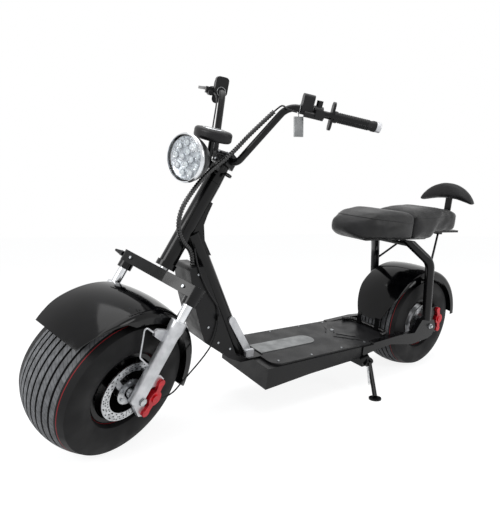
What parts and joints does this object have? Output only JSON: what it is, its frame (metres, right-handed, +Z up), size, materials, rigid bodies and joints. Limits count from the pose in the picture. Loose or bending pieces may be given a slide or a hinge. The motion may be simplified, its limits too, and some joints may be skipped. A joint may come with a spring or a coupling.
{
  "type": "electric chopper scooter",
  "caption": "Fat-tyre electric chopper scooter with raked fork, high bars, low deck, stepped saddle and backrest, parked on its side stand.",
  "frame": {"origin": "on the floor under the middle of the parked scooter's bounding box", "axes": "+X ahead, +Y to the rider's left, +Z up; the scooter leans to +Y on its side stand"},
  "size_m": [1.9264, 0.677, 1.2186],
  "materials": {
    "frame_paint": "gloss black paint",
    "pan_paint": "satin black paint",
    "cover_plastic": "moulded matt",
    "fender_plastic": "gloss black",
    "tyre_rubber": "moulded rubber",
    "grip_rubber": "moulded rubber",
    "seat_skin": "matt vinyl",
    "cast_silver": "silver paint",
    "chrome": "polished",
    "steel": "ground",
    "red_cast": "red anodised",
    "lens": "clear"
  },
  "bodies": {
    "frame": {"head_tube": "frame_paint", "down_tube": "frame_paint", "side_bar": "cast_silver", "front_box": "cover_plastic", "deck_pan": "pan_paint", "battery": "cover_plastic", "deck_cover": "cover_plastic", "deck_strip": "cast_silver", "tail_plate": "cover_plastic", "rear_conduit": "grip_rubber", "rear_stays": "frame_paint", "rear_axle": "steel", "rear_caliper": "red_cast", "rear_fender": "fender_plastic", "seat_legs": "frame_paint", "seat_pan": "frame_paint", "seat_front": "seat_skin", "seat_rear": "seat_skin", "backrest": "seat_skin", "backrest_post": "frame_paint", "stand_bracket": "frame_paint"},
    "fork": {"front_axle": "steel", "fork_legs": "cast_silver", "stanchions": "chrome", "triple_clamp": "frame_paint", "clamp_stub": "cover_plastic", "lamp_bracket": "frame_paint", "grip_plates": "cover_plastic", "key_fobs": "cover_plastic", "hose_guide": "frame_paint", "left_hose": "grip_rubber", "lower_hose": "grip_rubber", "right_hose": "grip_rubber", "wiring_loom": "grip_rubber", "steering_stem": "steel", "bar_yoke": "frame_paint", "handlebar": "frame_paint", "grips": "grip_rubber", "bar_ends": "cast_silver", "lever_perches": "cover_plastic", "brake_levers": "cast_silver", "switch_pods": "cover_plastic", "headlight": "cover_plastic", "headlight_bezel": "chrome", "headlight_lens": "lens", "display": "cover_plastic", "front_fender": "fender_plastic", "front_caliper": "red_cast"},
    "front_wheel": {"front_tyre": "tyre_rubber", "front_rim": "frame_paint", "front_rotor": "steel"},
    "rear_wheel": {"rear_tyre": "tyre_rubber", "rear_rim": "frame_paint", "hub_motor": "cast_silver", "rear_rotor": "steel"},
    "stand": {"side_stand": "frame_paint"}
  },
  "joints": [
    {"name": "steering", "type": "hinge", "parent": "frame", "child": "fork", "pos_m": [0.5433, -0.02949, 0.5717], "axis": [-0.4852, 0.1292, 0.8648], "range_deg": [-44, 0], "deforming": ["left_hose", "lower_hose", "right_hose", "wiring_loom"]},
    {"name": "front_wheel_spin", "type": "hinge", "parent": "fork", "child": "front_wheel", "pos_m": [0.73737, -0.08118, 0.22577], "axis": [-0.3276, 0.8901, -0.3168], "continuous": true},
    {"name": "rear_wheel_spin", "type": "hinge", "parent": "frame", "child": "rear_wheel", "pos_m": [-0.70263, -0.08127, 0.22517], "axis": [0, 0.989, -0.1478], "continuous": true},
    {"name": "stand_fold", "type": "hinge", "parent": "frame", "child": "stand", "pos_m": [-0.27759, 0.07175, 0.11249], "axis": [0.143, 0.7214, 0.6776], "range_deg": [0, 115.7]}
  ]
}
